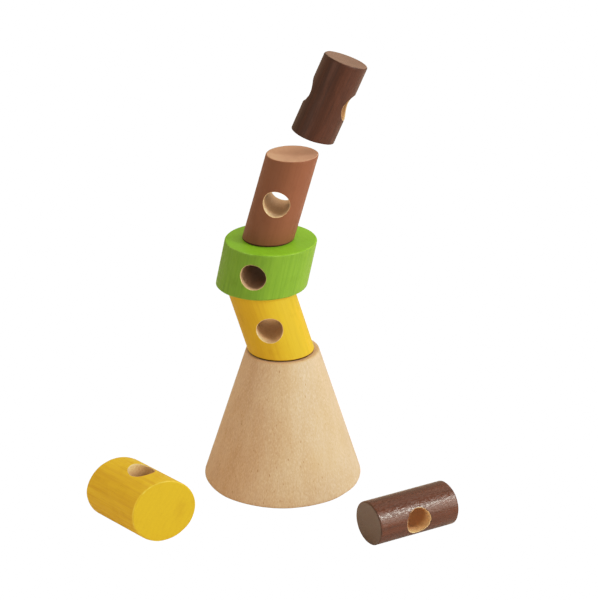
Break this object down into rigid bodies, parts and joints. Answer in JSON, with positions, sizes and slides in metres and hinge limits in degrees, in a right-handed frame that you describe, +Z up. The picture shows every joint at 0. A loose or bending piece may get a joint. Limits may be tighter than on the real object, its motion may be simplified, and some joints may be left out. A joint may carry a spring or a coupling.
{
  "type": "wooden balancing tower toy",
  "caption": "Small wooden balancing tower: a plain cone with slanted, coloured dowel blocks stacked on it, each with a bare cross hole, and loose blocks lying beside it.",
  "frame": {"origin": "centre of the cone's flat foot, on the table", "axes": "+Z up the tower, +X to the right and -Y towards the viewer when the tower is seen as in its rest layout"},
  "size_m": [0.1818, 0.1231, 0.2229],
  "materials": {
    "plain_wood": "bare, sanded smooth",
    "yellow_stain": "satin stain, bare inside the cross hole",
    "green_stain": "satin stain, bare inside the cross hole",
    "light_brown_stain": "satin stain, bare inside the cross hole",
    "dark_brown_stain": "satin stain, bare inside the cross hole"
  },
  "bodies": {
    "cone_base": {"cone_base": "plain_wood"},
    "yellow_block": {"yellow_block": "yellow_stain"},
    "green_block": {"green_block": "green_stain"},
    "light_brown_block": {"light_brown_block": "light_brown_stain"},
    "dark_brown_block": {"dark_brown_block": "dark_brown_stain"},
    "loose_yellow_block": {"loose_yellow_block": "yellow_stain"},
    "loose_dark_brown_block": {"loose_dark_brown_block": "dark_brown_stain"}
  },
  "joints": [
    {"name": "yellow_turn", "type": "hinge", "parent": "cone_base", "child": "yellow_block", "pos_m": [-0.0006, -0.0007, 0.07004], "axis": [0, 0, 1], "continuous": true},
    {"name": "green_turn", "type": "hinge", "parent": "yellow_block", "child": "green_block", "pos_m": [-0.011, -0.00043, 0.10367], "axis": [0, 0, 1], "continuous": true},
    {"name": "light_brown_turn", "type": "hinge", "parent": "green_block", "child": "light_brown_block", "pos_m": [-0.007, 0.0037, 0.12821], "axis": [0, 0, 1], "continuous": true},
    {"name": "dark_brown_landing", "type": "hinge", "parent": "light_brown_block", "child": "dark_brown_block", "pos_m": [0.03321, 0.00668, 0.14965], "axis": [0.1736, -0.9848, 0], "range_deg": [0, 19.87]},
    {"name": "loose_yellow_roll", "type": "hinge", "parent": "cone_base", "child": "loose_yellow_block", "pos_m": [-0.069, -0.0583, 0.016], "axis": [0.6959, -0.7181, 0], "continuous": true},
    {"name": "loose_dark_brown_roll", "type": "hinge", "parent": "cone_base", "child": "loose_dark_brown_block", "pos_m": [0.0611, -0.0633, 0.011], "axis": [0.8755, 0.4833, 0], "continuous": true}
  ]
}
